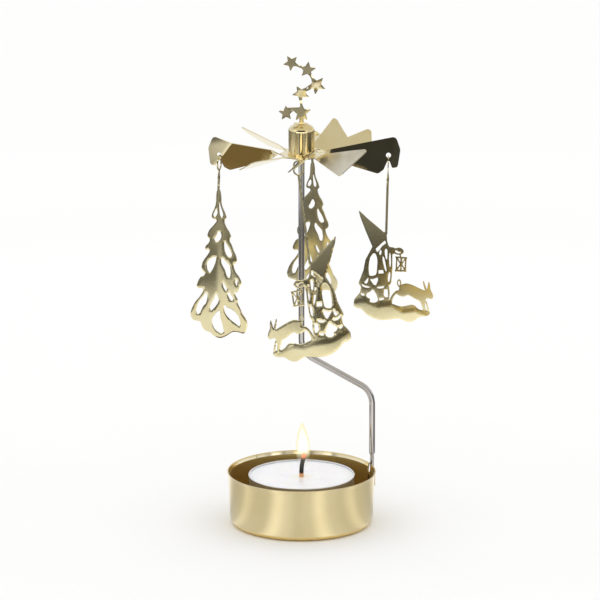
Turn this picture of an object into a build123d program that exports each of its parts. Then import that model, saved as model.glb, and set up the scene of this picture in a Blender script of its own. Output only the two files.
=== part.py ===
from build123d import *
import math
import os

os.makedirs("parts", exist_ok=True)

# ---------------------------------------------------------------- dimensions
# millimetres, +Z up, origin at the centre of the cup's foot, viewer at -Y

# candle cup
CUP_H = 19.0
CUP_R_TOP = 26.3
CUP_R_BOT = 25.4
CUP_T = 0.45
LIP_H = 1.3                  # flared lip of the cup
LIP_OUT = 0.34
HOLDER_AZ = 20.0        # azimuth of the rod holder on the cup wall
STRAP_Z0 = 10.9
STRAP_Z1 = 15.0
STRAP_T = 0.45
NOTCH_Z0 = 16.0         # rim notch that clears the rod
NOTCH_W = 2.2

# tealight, standard 38 mm
TL_R_TOP = 18.9
TL_R_BOT = 18.4
TL_H = 17.1
TL_T = 0.22
WAX_DROP = 0.4          # wax edge below the shell rim
WICK_R = 0.78

# support rod
ROD_R = 1.1
SPIGOT_R = 0.72
SPIGOT_Z0 = 10.75
SHOULDER_Z = 23.1
ROD_OFFSET = 26.95      # radius of the lower leg from the carousel axis
ROD_BEND1_Z = 46.0
ROD_BEND2_Z = 63.0
ROD_BEND_R = 9.0
NEEDLE_Z0 = 138.8
NEEDLE_TIP_Z = 143.2
NEEDLE_TIP_R = 0.22

# rotor
VANE_Z = 135.6          # middle of the vane sheet
VANE_T = 0.36
VANE_DISC_R = 7.2
HUB_R = 4.6
HUB_T = 0.35
HUB_TOP_Z = 145.2
HUB_APEX_Z = 146.9
HOOK_RHO = 30.75        # hook hole along the blade
HOOK_S = -0.4
HOOK_HOLE_R = 0.9

# (azimuth, pitch, upward bend), each blade bent to its own angle
HOOK_BLADES = {"right": (0.0, 67.0, 0.0), "rear": (85.0, 24.0, 2.0),
               "left": (180.0, 67.0, 0.0), "front": (271.5, 40.0, 12.0)}
HOOK_REACH = {"right": 0.0, "rear": 0.0, "left": -1.6, "front": 0.0}     # longer or shorter outer end
PLAIN_BLADES = [(25.0, 38.0, 4.0), (57.0, 40.0, 8.0), (129.0, 38.0, 4.0), (224.5, 26.0, 0.5), (313.5, 40.0, 5.5)]

# pendants
FIG_T = 0.35
STEM_W = 0.85
RING_A = 1.4            # inner half width of the ring
RING_BAND = 0.6
RING_L = 1.8            # straight part of the ring
TOP_T = 0.4             # star topper sheet


# ---------------------------------------------------------------- helpers
def save(shape, name):
    shape.label = name
    export_step(shape, f"parts/{name}.step")


def rounded(pts):
    """Closed face from (x, y, corner radius) points."""
    n = len(pts)
    edges = []
    ends = []
    for i in range(n):
        px, py, _ = pts[i - 1]
        x, y, r = pts[i]
        qx, qy, _ = pts[(i + 1) % n]
        ax, ay = px - x, py - y
        bx, by = qx - x, qy - y
        la, lb = math.hypot(ax, ay), math.hypot(bx, by)
        ax, ay, bx, by = ax / la, ay / la, bx / lb, by / lb
        half = math.acos(max(-1, min(1, ax * bx + ay * by))) / 2
        if r <= 0 or half > 1.55:
            ends.append(((x, y), (x, y), None))
            continue
        d = min(r / math.tan(half), 0.45 * la, 0.45 * lb)
        r = d * math.tan(half)
        mx, my = ax + bx, ay + by
        lm = math.hypot(mx, my)
        k = r / math.sin(half) - r
        ends.append(((x + ax * d, y + ay * d), (x + bx * d, y + by * d), (x + mx / lm * k, y + my / lm * k)))
    for i in range(n):
        a, b, m = ends[i]
        if m is not None:
            edges.append(ThreePointArc(a, m, b))
        nxt = ends[(i + 1) % n][0]
        if math.hypot(b[0] - nxt[0], b[1] - nxt[1]) > 1e-6:
            edges.append(Line(b, nxt))
    return make_face(edges)


def smooth(pts):
    """Closed face with every corner rounded as far as its sides allow."""
    return rounded([(x, y, 9.0) for x, y in pts])


def plate(sketch, t):
    return extrude(sketch, amount=t / 2, both=True)


def upright(solid):
    """Sheet drawn in XY, stood up in the XZ plane."""
    return Rot(90, 0, 0) * solid


def frustum(r0, r1, z0, z1):
    return Pos(0, 0, (z0 + z1) / 2) * Cone(r0, r1, z1 - z0)


def drum(r, z0, z1):
    return Pos(0, 0, (z0 + z1) / 2) * Cylinder(r, z1 - z0)


# ---------------------------------------------------------------- candle cup
def lowest(shape):
    return shape.edges().group_by(Axis.Z)[0]


cup_outer = frustum(CUP_R_BOT, CUP_R_TOP, 0, CUP_H)
cup_outer = fillet(lowest(cup_outer), 2.4)
cup_inner = frustum(CUP_R_BOT - CUP_T + 0.02, CUP_R_TOP - CUP_T + 0.05, CUP_T, CUP_H + 1.0)
cup_inner = fillet(lowest(cup_inner), 2.0)
lip_r = CUP_R_BOT + (CUP_R_TOP - CUP_R_BOT) * (CUP_H - LIP_H) / CUP_H
lip_z = CUP_H - LIP_H
cup = cup_outer + frustum(lip_r, CUP_R_TOP + LIP_OUT, lip_z, CUP_H)
cup = cup - cup_inner - frustum(lip_r - CUP_T + 0.04, CUP_R_TOP - CUP_T + 0.04 + LIP_OUT, lip_z, CUP_H + 0.001)
rim_edges = cup.edges().group_by(Axis.Z)[-1]
cup = fillet(rim_edges, 0.16)

# lanced strap, its window in the wall, and the stop dimple below it
holder = Rot(0, 0, HOLDER_AZ)
strap_ro = SPIGOT_R + 0.04 + STRAP_T
strap_ri = SPIGOT_R + 0.04
strap_sk = (Pos(ROD_OFFSET, 0) * Circle(strap_ro)
            + Pos((ROD_OFFSET + 25.75) / 2, 0) * Rectangle(ROD_OFFSET - 25.75, 2 * strap_ro))
strap_cut = (Pos(ROD_OFFSET, 0) * Circle(strap_ri)
             + Pos((ROD_OFFSET + 25.0) / 2, 0) * Rectangle(ROD_OFFSET - 25.0, 2 * strap_ri))
window = Pos(25.8, 0, (STRAP_Z0 + STRAP_Z1) / 2) * Box(2.4, 2 * strap_ri, STRAP_Z1 - STRAP_Z0)
strap = Pos(0, 0, STRAP_Z0) * extrude(strap_sk - strap_cut, amount=STRAP_Z1 - STRAP_Z0)
cup = cup - holder * window
notch = Pos(26.0, 0, (NOTCH_Z0 + CUP_H + 1) / 2) * Box(3.0, NOTCH_W, CUP_H + 1 - NOTCH_Z0)
notch = fillet(notch.edges().filter_by(Axis.X).group_by(Axis.Z)[0], 0.6)
cup = cup - holder * notch
cup = cup + holder * strap
dimple = Pos(25.9, 0, 9.4) * Rot(0, 90, 0) * Sphere(1.3) - drum(25.6, 0, 20)
cup = cup + holder * dimple
save(cup, "candle_cup")

# ---------------------------------------------------------------- tealight
TL_Z = CUP_T + 0.02
shell_o = fillet(lowest(frustum(TL_R_BOT, TL_R_TOP, 0, TL_H)), 0.9)
shell_i = fillet(lowest(frustum(TL_R_BOT - TL_T, TL_R_TOP - TL_T + 0.02, TL_T, TL_H + 0.8)), 0.7)
shell = shell_o - shell_i
bead = Pos(0, 0, TL_H - 0.05) * Torus(TL_R_TOP - TL_T / 2, 0.24)
shell = shell + bead
save(Pos(0, 0, TL_Z) * shell, "tealight_shell")

wax_top = TL_H - WAX_DROP
gap = 0.03
wr0 = TL_R_BOT - TL_T - gap
wr1 = wr0 + (TL_R_TOP - TL_R_BOT) * wax_top / TL_H
wax = fillet(lowest(frustum(wr0, wr1, TL_T + gap, wax_top)), 0.75)
pool = Pos(0, 0, wax_top + 299.65) * Sphere(300.0)       # shallow burn pool
wax = wax - pool
sus_z = TL_T + gap + 0.02
sustainer = drum(6.2, sus_z, sus_z + 0.3) + drum(1.3, sus_z, sus_z + 3.2)
wick_hole = drum(WICK_R + 0.03, sus_z - 1, sus_z + 4)
sustainer = sustainer - wick_hole
sus_pocket = drum(6.24, 0, sus_z + 0.33) + drum(1.34, 0, sus_z + 3.23)
wax = wax - sus_pocket - drum(WICK_R + 0.04, 0, TL_H + 2)
save(Pos(0, 0, TL_Z) * wax, "tealight_wax")
save(Pos(0, 0, TL_Z) * sustainer, "wick_sustainer")

wick_path = Line((0, 0, sus_z + 0.1), (0, 0, wax_top - 0.6)) + Spline(
    (0, 0, wax_top - 0.6), (0.05, 0, wax_top + 2.8), (0.55, -0.1, wax_top + 6.0), (1.15, -0.15, wax_top + 8.2),
    tangents=[(0, 0, 1), (0.35, 0, 0.9)])
wick = sweep(Pos(0, 0, sus_z + 0.1) * Circle(WICK_R), path=wick_path)
save(Pos(0, 0, TL_Z) * wick, "wick")

# ---------------------------------------------------------------- support rod
ca, sa = math.cos(math.radians(HOLDER_AZ)), math.sin(math.radians(HOLDER_AZ))
rod_pts = [(ROD_OFFSET * ca, ROD_OFFSET * sa, SHOULDER_Z), (ROD_OFFSET * ca, ROD_OFFSET * sa, ROD_BEND1_Z),
           (0, 0, ROD_BEND2_Z), (0, 0, NEEDLE_Z0)]
rod_path = FilletPolyline(*rod_pts, radius=ROD_BEND_R)
rod = sweep(Pos(*rod_pts[0]) * Circle(ROD_R), path=rod_path)
spigot = Pos(rod_pts[0][0], rod_pts[0][1], 0) * (
    drum(SPIGOT_R, SPIGOT_Z0, SHOULDER_Z + 0.2) + frustum(SPIGOT_R, ROD_R, SHOULDER_Z - 0.7, SHOULDER_Z))
needle = frustum(ROD_R, NEEDLE_TIP_R, NEEDLE_Z0, NEEDLE_TIP_Z)
rod = rod + spigot + needle
save(rod, "support_rod")

# ---------------------------------------------------------------- hub and bearing
vane_lo, vane_hi = VANE_Z - VANE_T / 2, VANE_Z + VANE_T / 2
hub_out = drum(HUB_R, vane_lo - 0.7, HUB_TOP_Z) + frustum(HUB_R, 1.7, HUB_TOP_Z, HUB_APEX_Z)
crown = [e for e in hub_out.edges().filter_by(GeomType.CIRCLE) if e.center().Z > HUB_TOP_Z - 0.1]
hub_out = fillet([e for e in crown if e.center().Z < HUB_APEX_Z - 0.1], 1.9)
hub_out = fillet(hub_out.edges().filter_by(GeomType.CIRCLE).group_by(Axis.Z)[-1], 0.7)
hub = hub_out + drum(5.4, vane_lo - 0.7, vane_lo - 0.03) + drum(4.95, vane_hi + 0.03, vane_hi + 0.5)
hub_in = drum(HUB_R - HUB_T, vane_lo - 2, HUB_TOP_Z - 0.5) + frustum(HUB_R - HUB_T, 1.5, HUB_TOP_Z - 0.5, HUB_APEX_Z - 0.6)
hub = hub - hub_in
slot = Pos(0, 0, HUB_APEX_Z) * Box(3.06, TOP_T + 0.04, 3.0)
hub = hub - slot
save(hub, "hub_cap")

pivot = drum(HUB_R - HUB_T - 0.02, 140.9, 143.7) - frustum(2.0, 0.27, 140.9, NEEDLE_TIP_Z + 0.05)
save(pivot, "pivot_cup")


# ---------------------------------------------------------------- vane wheel
def blade_at(az, pitch, bend):
    return Rot(0, 0, az) * Pos(6, 0, VANE_Z) * Rot(0, -bend, 0) * Pos(-6, 0, 0) * Rot(pitch, 0, 0)


HOOK_OUT = [
    (5.9, -1.35, 0), (9.0, -1.45, 2), (27.0, -7.1, 1.3), (29.0, -5.6, 0.6), (30.3, -2.6, 0.3),
    (31.2, -2.6, 0.3), (32.0, -5.0, 0.5), (34.0, -4.7, 1.1), (35.0, 1.6, 3), (33.4, 6.3, 1.6), (9.0, 1.45, 2), (5.9, 1.35, 0)]


def hook_blade(reach):
    face = rounded([(x + reach if x > 20 else x, y, r) for x, y, r in HOOK_OUT])
    return face - Pos(HOOK_RHO + reach, HOOK_S) * Circle(HOOK_HOLE_R)


plain_blade = rounded([
    (5.9, -1.35, 0), (9.0, -1.45, 2), (24.8, -7.2, 1.4), (30.0, 6.3, 1.2), (9.0, 1.45, 2), (5.9, 1.35, 0)])

wheel = plate(Circle(VANE_DISC_R) - Circle(HUB_R + 0.03), VANE_T)
wheel = Pos(0, 0, VANE_Z) * wheel
for side, (az, pitch, bend) in HOOK_BLADES.items():
    wheel = wheel + blade_at(az, pitch, bend) * plate(hook_blade(HOOK_REACH[side]), VANE_T)
for az, pitch, bend in PLAIN_BLADES:
    wheel = wheel + blade_at(az, pitch, bend) * plate(plain_blade, VANE_T)
save(wheel, "vane_wheel")

# ---------------------------------------------------------------- star topper
# (across, up, outer radius, turn) seen from the front, from the hub axis
STARS = [(0.0, 150.7, 3.5, 90), (-5.45, 150.5, 2.85, 92), (-0.2, 157.7, 3.2, 47),
         (5.2, 160.7, 3.6, 48), (2.1, 166.2, 3.1, 83), (-3.6, 168.7, 3.0, 120)]
LINKS = [((0.0, 150.7), (-5.45, 150.5), 1.5, 0.9), ((0.0, 152.0), (-0.25, 156.0), 0, 0.8),
         ((-0.2, 157.7), (5.2, 160.7), 0, 0.8), ((5.2, 160.7), (2.1, 166.2), 0, 0.8),
         ((2.1, 166.2), (-3.6, 168.7), 0, 0.8)]


def star(r, turn):
    pts = []
    for k in range(10):
        a = math.radians(turn + 36 * k)
        rr = r if k % 2 == 0 else r * 0.47
        pts.append((rr * math.cos(a), rr * math.sin(a), 0.12 if k % 2 == 0 else 0))
    return rounded(pts)


def bar(a, b, w):
    dx, dy = b[0] - a[0], b[1] - a[1]
    return Pos((a[0] + b[0]) / 2, (a[1] + b[1]) / 2) * Rot(0, 0, math.degrees(math.atan2(dy, dx))) * Rectangle(
        math.hypot(dx, dy), w)


top_sk = Pos(0, 145.75) * Rectangle(3.0, 2.3) + Pos(0, 148.0) * Rectangle(1.5, 4.0)     # foot in the hub, neck above it
for x, z, r, turn in STARS:
    top_sk = top_sk + Pos(x, z) * star(r, turn)
for a, b, lift, w in LINKS:
    if lift:
        a, b = (a[0], a[1] + lift), (b[0], b[1] + lift)
    top_sk = top_sk + bar(a, b, w)
topper = upright(plate(top_sk, TOP_T))
save(topper, "star_topper")

# ---------------------------------------------------------------- pendants
# outlines as (across, down) in drawing units from the hook, then scaled to mm
TREE_K = (0.350, 0.362)
TREE_K_REAR = (0.315, 0.328)
TREE_OUT = [(220.9, 189.0), (218.8, 191.5), (218.2, 197), (218.5, 203), (217.3, 209), (214.9, 214), (214.2, 218), (215.6, 220.2),
            (218.4, 220.2), (219.9, 222.2), (216.2, 227), (212.6, 231), (210.5, 236), (211.2, 239), (213.4, 241),
            (212.5, 244.5), (209.5, 247.3), (208.5, 250), (209.9, 251.8), (212.2, 250.8), (213.6, 253), (211.5, 257),
            (207.7, 262), (205.6, 267), (206.2, 272), (209.6, 275.6), (209.0, 277.4), (205.3, 278.8), (202.6, 283.5), (201.1, 288.5), (203.2, 291.2),
            (207.4, 290), (208.5, 293.5), (204.8, 299.6), (200.3, 305), (197.4, 311), (195.7, 317.5), (198, 322.8),
            (202.6, 324), (206.6, 324.6), (208.2, 330), (211.4, 333.8), (216.6, 335), (221, 339.4), (227.2, 341.2),
            (233, 338.8), (239.6, 333.8), (245.6, 334.3), (250.4, 336), (252.9, 334), (254.8, 326.8), (253, 321),
            (248.6, 315.6), (246, 309), (243.4, 304.6), (243.8, 301), (240.6, 296.2), (241.2, 293.4), (243.6, 293.6), (244.7, 291),
            (244.9, 288), (247, 285.2), (246.4, 281.8), (244, 277.6), (240.6, 273.6), (238.6, 268.4), (238.2, 265.4), (240.6, 264.2),
            (241.8, 261.6), (240.8, 257), (238.3, 252.6), (235.8, 246), (233.4, 242.2), (233.9, 239.6), (235, 237.6),
            (232.8, 232.4), (230.1, 229), (227.9, 224), (227.6, 221.2), (229.9, 218.6), (227.7, 213.1), (224.7, 207),
            (223.8, 202), (223.8, 197.6), (222.7, 192)]
TREE_HOLES = [
    [(219.4, 209.4), (220.3, 212.5), (220, 215.7), (218.4, 217.9), (216.6, 217.6), (216, 215.6), (217.4, 212.3)],
    [(221.5, 203.2), (222.8, 206), (224.6, 211), (226, 215), (225.8, 217.6), (224.3, 218.6), (222.9, 216.5), (222.2, 211.5)],
    [(222.6, 231.9), (225.1, 235.5), (224.6, 240.1), (221, 243.7), (217.4, 241.3), (219.5, 238), (221.3, 233.5)],
    [(228.3, 241.4), (230.4, 245.4), (233, 249), (235.2, 253), (236.6, 257.2), (233.6, 258.6), (230.9, 256.8), (229, 252.2), (228, 246.4)],
    [(220.6, 258), (220, 262.8), (218, 269.5), (214.6, 275.4), (211.8, 272), (211, 266.5), (212.5, 262.2), (216.6, 259)],
    [(226.3, 258.4), (230.4, 263), (234.2, 266.2), (235.7, 273.8), (234.9, 279.4), (232, 278.2), (230.3, 272.4), (226.5, 266.1), (225.3, 262)],
    [(241, 279.1), (243, 282.6), (242.3, 287.2), (240.6, 284.9)],
    [(227.3, 282.2), (230.4, 287), (232.4, 290.6), (231.6, 293.6), (228.6, 288.9)],
    [(234.3, 293), (237.3, 297.6), (239.8, 301.2), (236.6, 302.6), (234.9, 299.6), (233, 296)],
    [(212, 293.2), (212.9, 299.8), (211.5, 306), (208, 309.8), (205.7, 316.4), (202.8, 317.6), (201.6, 313), (203.6, 305), (208.9, 298.4)],
    [(221.3, 293.8), (224.9, 302.7), (221.2, 309), (216.9, 313.6), (215.4, 310.2), (216.8, 305.6), (220.2, 299.6)],
    [(226.2, 311.4), (226.1, 319.4), (229.1, 326.8), (230.6, 335.2), (227.2, 336), (221.5, 332.6), (218.6, 327.4), (218, 321.1), (222.2, 315)],
    [(229.9, 305.8), (232.2, 309), (238.4, 311.2), (244.6, 317), (247, 324), (246.8, 329.2), (242.7, 326), (236.2, 321.4), (231.2, 315.4), (229.8, 310.4)],
]
TREE_REF = (220.4, 156.0)

GNOME_K = (0.362, 0.370)
GNOME_K_FRONT = (0.373, 0.398)
GNOME_REF = (388.2, 157.0)
GNOME_SOLID = [
    # hat
    ("r", [(388.0, 231.5, 0), (385.6, 231.6, 0.5), (381, 227.8, 3), (370, 219, 6), (360.4, 210.4, 0.5), (362.2, 217, 5), (368, 231, 8),
           (375.6, 247.8, 0.4), (381.8, 243, 2), (386.6, 238.6, 1), (389.2, 238.2, 0.4)]),
    # coat, arms and legs, from the brim down into the snow
    ("r", [(375.0, 246.4, 0.5), (372.2, 252.2, 4), (368.6, 259.4, 4), (367.4, 266, 2), (366.9, 270, 2), (363, 281, 1.5), (362.6, 283.4, 1),
           (364.8, 286.4, 1), (364.6, 290, 1), (363.6, 293, 1), (361, 296, 2), (358.4, 300, 2), (358.2, 306, 1), (394, 306, 0),
           (393.2, 297, 0.5), (393.4, 292, 0.5), (392.6, 285.6, 0.5), (394.6, 281.2, 1.5), (395.3, 267.5, 4), (394.9, 254, 1.5), (393.9, 247.6, 1),
           (390.9, 245.2, 2), (389.4, 240.5, 2), (388.6, 233, 0), (386.0, 236, 0)]),
    # arm, mitten and lantern ring
    ("s", [(391.0, 246.2), (395.2, 246.5), (398.0, 247.6), (400.6, 246.5), (403.8, 247.2), (406.4, 250.3), (404.8, 252.9), (402.2, 253.9),
           (398.7, 253.5), (396.8, 252.6), (394.3, 254.2), (391.6, 252)]),
    ("r", [(401.7, 253, 0), (403.2, 253, 0), (403.6, 257, 0), (402.2, 257, 0)]),
    # lantern
    ("r", [(397.6, 255.4, 0.4), (409.6, 256.1, 0.4), (408.9, 258.4, 0.4), (408.7, 268.4, 0.4), (409.3, 270.6, 0.4), (397.5, 270.4, 0.4),
           (398.4, 268.2, 0.4), (398.6, 258, 0.4)]),
    # snow
    ("s", [(358.2, 301.5), (361.5, 303), (368, 302.6), (376, 303.4), (382.4, 302.6), (387, 303.6), (391, 304.4), (393.6, 302.6), (397, 302.8), (400.2, 304),
           (405.2, 305.4), (411, 304), (415.6, 302.9), (418.4, 303.8), (421.2, 306.9), (424.6, 308.2), (428, 307.9), (431.4, 308.4),
           (433.8, 310.2), (432.6, 312.8), (429.6, 314.3), (425.6, 314.6), (422.4, 315.4), (419.4, 318.2), (415.4, 320.2), (410.8, 320.1),
           (407, 318.4), (403.4, 317), (398, 317.7), (392, 318.7), (385, 319.2), (378, 317.5), (372, 314.4), (368, 310.6),
           (365.6, 308.2), (361.8, 307.9), (358.6, 306)]),
    # hare
    ("s", [(402.4, 285.2), (405.6, 282.8), (409.4, 281.9), (414.8, 283.1), (422.8, 286.8), (428.6, 289.2), (430.0, 286.8), (430.6, 283), (431.4, 278.4),
           (432.8, 283), (433, 287.4), (435.2, 291), (436.4, 294.8), (435, 297.4), (432.2, 296.8), (429.6, 296.4),
           (428.4, 299.6), (428.2, 303.4), (429.4, 308.4), (427.0, 309.4), (425.2, 303.8), (422.8, 299), (418.8, 297.6), (414.8, 295.2), (411.2, 293.4),
           (408.4, 295.2), (405.6, 295.4), (402.6, 294.6), (400.2, 292.6), (398, 294.6), (395.8, 299.6), (396, 304.2), (393.2, 304.4), (393.4, 298),
           (396.6, 292.4), (399.8, 289.2), (402.6, 289)]),
    ("s", [(426.0, 278.2), (427.4, 281.8), (429.2, 286.2), (430.2, 289.6), (428.4, 290), (426.8, 285.4), (425.6, 281)]),
    ("r", [(428.2, 299.6, 0), (429.8, 299.2, 0), (432.8, 308.6, 0.3), (431.2, 309.2, 0.3)]),
    ("s", [(401.8, 277.6), (404.0, 279.2), (404.6, 282.4), (404.8, 285.6), (402.6, 286.4), (400.6, 284.2), (399.8, 280.6)]),
]
GNOME_HOLES = [
    ("r", [(378.2, 248.6, 0.6), (382.4, 244.4, 1), (387.2, 239.8, 0.6), (388.4, 242.6, 0.6), (384.4, 245.6, 1), (382.2, 249.6, 1), (379.8, 251.8, 0.6)]),
    ("s", [(383.4, 248.6), (384.2, 251), (383.8, 254.2), (382.2, 254.4), (381.8, 252)]),
    ("s", [(376.4, 252.6), (373.4, 256.2), (372.2, 262), (372, 269), (372.8, 275.4), (376.2, 275.4), (379.6, 274.2), (380.2, 268),
           (380.4, 260.6), (379.6, 256), (378.2, 253.2)]),
    ("s", [(385.4, 255.4), (386.8, 256.8), (388.2, 262), (389.4, 268), (389.8, 271.4), (388.2, 269.4), (386.6, 264.4), (385.3, 259)]),
    ("s", [(387.2, 249.6), (388.6, 247.6), (389.9, 249.4), (390, 254), (389.8, 259.4), (388.6, 258), (387.5, 254)]),
    ("s", [(392.2, 251.2), (393.2, 254), (393.7, 261), (393.4, 267.6), (392.2, 264), (391.6, 256.5)]),
    ("s", [(393.0, 270.4), (393.6, 274), (393.2, 279.6), (391.8, 282), (391, 277), (391.6, 272.6)]),
    ("r", [(381.8, 269.6, 0.6), (386.2, 269.2, 0.8), (387.0, 272.6, 0.4), (381.8, 273, 0.4)]),
    ("r", [(373.2, 278.4, 0.6), (376.4, 278.8, 0.6), (380.8, 276.8, 0.6), (381.6, 279.4, 0.8), (379.6, 284.6, 0.8), (377.6, 284.4, 0.6)]),
    ("s", [(371.6, 276.8), (372.0, 279.6), (370.9, 283), (369.2, 283.2), (367.8, 281.8), (370, 279.8)]),
    ("s", [(365.2, 283.6), (368.6, 285.2), (373.4, 286.4), (373, 287.4), (369, 287.2), (366, 285.6)]),
    ("s", [(379.6, 286.8), (383.4, 286), (388, 285.2), (387.2, 287.2), (383, 288)]),
    ("s", [(376.0, 288.8), (374.6, 291), (371.4, 292.6), (370, 294.6), (371.2, 297), (374.8, 298.4), (373.4, 300.8), (376, 302), (380, 301.8), (382, 300),
           (381.6, 297), (380, 293.4), (377.8, 289.8)]),
    ("r", [(364.6, 293.2, 0.4), (365.8, 292.8, 0.4), (368.6, 294, 0.4), (368, 295.6, 0.4), (365.8, 295, 0.4)]),
    ("r", [(383.0, 297.8, 0.4), (387.6, 297.2, 0.4), (387.8, 298.8, 0.4), (383.8, 299.8, 0.4)]),
    ("r", [(387.8, 288.6, 0.6), (391.2, 288.4, 0.6), (391.6, 292.6, 0.6), (391.8, 296.2, 0.6), (389.2, 296.4, 0.6), (387.6, 294.6, 0.6)]),
    ("s", [(397.4, 249.2), (399.6, 249.8), (401.6, 251.2), (403.6, 250.6), (402.4, 252.4), (399.4, 252.3), (397.5, 251.2)]),
    # hare tail loop
    ("s", [(401.9, 279.2), (403, 280.6), (403.4, 283.2), (402.4, 284.6), (401.4, 282.8), (401.1, 280.4)]),
]
LANTERN_HOLES = [
    [(400.7, 257.2), (402.7, 257.2), (402.9, 261.6)], [(404.9, 257.4), (407.0, 257.5), (404.5, 261.6)],
    [(407.4, 259.0), (407.2, 267.0), (404.9, 263.2)], [(406.8, 268.8), (404.5, 268.8), (404.3, 264.8)],
    [(402.8, 268.7), (400.4, 268.6), (403.0, 264.8)], [(399.9, 266.8), (399.9, 258.8), (402.5, 263.1)],
]


def to_mm(p, ref, k):
    return ((p[0] - ref[0]) * k[0], -(p[1] - ref[1]) * k[1])


def ring_sketch():
    def slot_face(a):
        return (Pos(0, -RING_A - RING_BAND / 2) * Circle(a) + Pos(0, -RING_A - RING_BAND / 2 - RING_L) * Circle(a)
                + Pos(0, -RING_A - RING_BAND / 2 - RING_L / 2) * Rectangle(2 * a, RING_L))
    return slot_face(RING_A + RING_BAND) - slot_face(RING_A)


RING_END = -(2 * RING_A + RING_BAND + RING_L)      # middle of the ring's lowest band


def tree_sketch(k):
    sk = smooth([to_mm(p, TREE_REF, k) for p in TREE_OUT])
    for h in TREE_HOLES:
        sk = sk - smooth([to_mm(p, TREE_REF, k) for p in h])
    return sk


def gnome_sketch(k):
    def face(kind, pts):
        if kind == "s":
            return smooth([to_mm(p, GNOME_REF, k) for p in pts])
        return rounded([(*to_mm(p, GNOME_REF, k), p[2] * 0.37) for p in pts])
    sk = None
    for kind, pts in GNOME_SOLID:
        f = face(kind, pts)
        sk = f if sk is None else sk + f
    for kind, pts in GNOME_HOLES:
        sk = sk - face(kind, pts)
    for pts in LANTERN_HOLES:
        sk = sk - rounded([(*to_mm(p, GNOME_REF, k), 0.1) for p in pts])
    return sk


def tree_top(k):
    return -(190.5 - TREE_REF[1]) * k[1]


def gnome_top(k):
    return -(234.0 - GNOME_REF[1]) * k[1]


def pendant(figure, fig_top, ring_yaw, mirror, longer=0.0, lean=0.0):
    """Ring, stem and figure of one stamped sheet; the stem is twisted by ring_yaw, or leaves a straight ring at a lean."""
    fig = Pos(0, 0, -longer) * upright(plate(figure, FIG_T))
    fig_top = fig_top - longer
    if mirror:
        fig = Rot(0, 0, 180) * fig
    ring = Rot(0, 0, ring_yaw) * upright(plate(ring_sketch(), FIG_T))
    z_twist0, z_twist1 = RING_END - 0.6, RING_END - 4.6
    if ring_yaw == 0:
        hung = Pos(0, 0, (RING_END + fig_top) / 2) * Box(STEM_W, FIG_T, RING_END - fig_top) + fig
        return ring + Pos(0, 0, RING_END) * Rot(0, lean, 0) * Pos(0, 0, -RING_END) * hung
    steps = 6
    secs = [Pos(0, 0, z_twist0 + (z_twist1 - z_twist0) * i / steps) * Rot(0, 0, ring_yaw * (1 - i / steps))
            * Rectangle(STEM_W, FIG_T) for i in range(steps + 1)]
    twist = loft(secs)
    upper = Pos(0, 0, (RING_END + z_twist0) / 2) * Rot(0, 0, ring_yaw) * Box(STEM_W, FIG_T, RING_END - z_twist0)
    lower = Pos(0, 0, (z_twist1 + fig_top) / 2) * Box(STEM_W, FIG_T, z_twist1 - fig_top)
    return ring + upper + twist + lower + fig


def hook_point(side):
    az, pitch, bend = HOOK_BLADES[side]
    return (blade_at(az, pitch, bend) * Pos(HOOK_RHO + HOOK_REACH[side], HOOK_S, 0)).position


# name, side, sheet, top of the figure, ring yaw, turned round, ring shift along its plane, drop of the ring, turn about Z, longer stem, lean
PENDANTS = [
    ("tree_pendant_left", "left", tree_sketch(TREE_K), tree_top(TREE_K), 70.0, False, 0.55, 0.28, 0.0, 0.0, 0.0),
    ("tree_pendant_rear", "rear", tree_sketch(TREE_K_REAR), tree_top(TREE_K_REAR), 0.0, False, 1.06, -0.24, -5.0, 0.0, 2.0),
    ("gnome_pendant_front", "front", gnome_sketch(GNOME_K_FRONT), gnome_top(GNOME_K_FRONT), 0.0, True, -1.5, -0.22, 1.5, 7.2, -7.0),
    ("gnome_pendant_right", "right", gnome_sketch(GNOME_K), gnome_top(GNOME_K), 90.0, False, -0.42, 0.33, 0.0, 0.0, 0.0),
]
for name, side, sheet, top, yaw, turned, shift, drop, turn, longer, lean in PENDANTS:
    hp = hook_point(side)
    p = pendant(sheet, top, yaw, turned, longer, lean)
    dx, dy = shift * math.cos(math.radians(yaw)), shift * math.sin(math.radians(yaw))
    p = Pos(hp.X, hp.Y, hp.Z - drop) * Rot(0, 0, turn) * Pos(dx, dy, 0) * p
    if side in ("left", "right"):
        # hang so that the centre of mass is under the hook
        c = p.center(CenterOf.MASS)
        lean = math.degrees(math.atan2(c.X - hp.X, hp.Z - c.Z))
        p = Pos(hp.X, 0, hp.Z) * Rot(0, lean, 0) * Pos(-hp.X, 0, -hp.Z) * p
    save(p, name)
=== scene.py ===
import math
import bpy
import bmesh
import numpy as np
from mathutils import Matrix, Vector, noise
from mathutils.geometry import delaunay_2d_cdt


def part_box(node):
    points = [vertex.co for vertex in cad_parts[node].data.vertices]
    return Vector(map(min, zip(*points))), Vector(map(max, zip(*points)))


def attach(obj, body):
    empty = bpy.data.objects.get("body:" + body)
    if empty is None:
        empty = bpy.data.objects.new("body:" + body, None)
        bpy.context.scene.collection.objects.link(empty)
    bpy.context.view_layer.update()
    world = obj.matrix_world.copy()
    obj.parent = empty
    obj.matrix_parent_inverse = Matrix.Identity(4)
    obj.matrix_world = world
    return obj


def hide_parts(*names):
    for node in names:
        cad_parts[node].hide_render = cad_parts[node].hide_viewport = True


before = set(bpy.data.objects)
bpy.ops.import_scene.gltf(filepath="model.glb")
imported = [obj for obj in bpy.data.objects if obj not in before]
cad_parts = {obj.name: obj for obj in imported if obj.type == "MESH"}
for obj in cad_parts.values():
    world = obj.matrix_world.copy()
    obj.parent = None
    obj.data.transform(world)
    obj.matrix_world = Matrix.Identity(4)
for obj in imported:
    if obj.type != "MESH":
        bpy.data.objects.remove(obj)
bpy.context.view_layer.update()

MM = 0.001
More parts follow.
